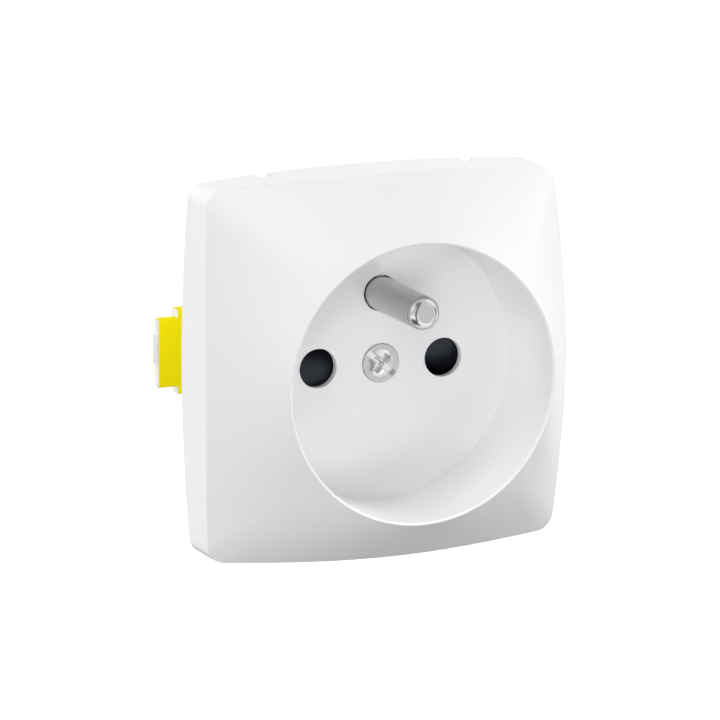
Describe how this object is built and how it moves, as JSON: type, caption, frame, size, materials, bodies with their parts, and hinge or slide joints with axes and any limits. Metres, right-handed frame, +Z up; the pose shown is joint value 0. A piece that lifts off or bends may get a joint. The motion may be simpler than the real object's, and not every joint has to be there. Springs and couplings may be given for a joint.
{
  "type": "grounded wall socket",
  "caption": "Square domed white wall socket with a round well, shuttered pin holes, a standing earth pin, a central cover screw and side clips.",
  "frame": {"origin": "on the axis of the round well, in the plane of the cover's rear rim, which lies on the wall", "axes": "+Y into the wall, so the front of the socket looks along -Y; +Z up, towards the earth pin; +X right as seen from the front"},
  "size_m": [0.0548, 0.0389, 0.0548],
  "materials": {
    "white_cover": "smooth satin white moulding",
    "white_base": "plain white moulding",
    "yellow_clip": "yellow lacquer",
    "dark_shutter": "glossy blue-black moulding",
    "nickel_pin": "satin nickel with a polished tip",
    "bright_screw": "bright nickel plate",
    "contact_brass": "plain rolled brass",
    "zinc_steel": "bright zinc plate",
    "spring_steel": "drawn wire"
  },
  "bodies": {
    "socket": {"front_cover": "white_cover", "cover_screw": "bright_screw", "screw_insert": "contact_brass", "shutter_tray": "dark_shutter", "shutter_spring": "spring_steel", "base_housing": "white_base", "left_clip": "yellow_clip", "right_clip": "yellow_clip", "earth_pin": "nickel_pin", "earth_strap": "contact_brass", "line_contact": "contact_brass", "neutral_contact": "contact_brass", "line_terminal_cage": "contact_brass", "line_clamp_plate": "zinc_steel", "line_terminal_screw": "zinc_steel", "neutral_terminal_cage": "contact_brass", "neutral_clamp_plate": "zinc_steel", "neutral_terminal_screw": "zinc_steel", "earth_terminal_cage": "contact_brass", "earth_clamp_plate": "zinc_steel", "earth_terminal_screw": "zinc_steel"},
    "shutter": {"shutter": "dark_shutter"}
  },
  "joints": [
    {"name": "shutter_turn", "type": "hinge", "parent": "socket", "child": "shutter", "pos_m": [0, 0, 0], "axis": [0, -1, 0], "range_deg": [0, 40], "stiffness_Nm_per_rad": 0.004, "springref_deg": -34.38, "deforming": ["shutter_spring"]}
  ]
}
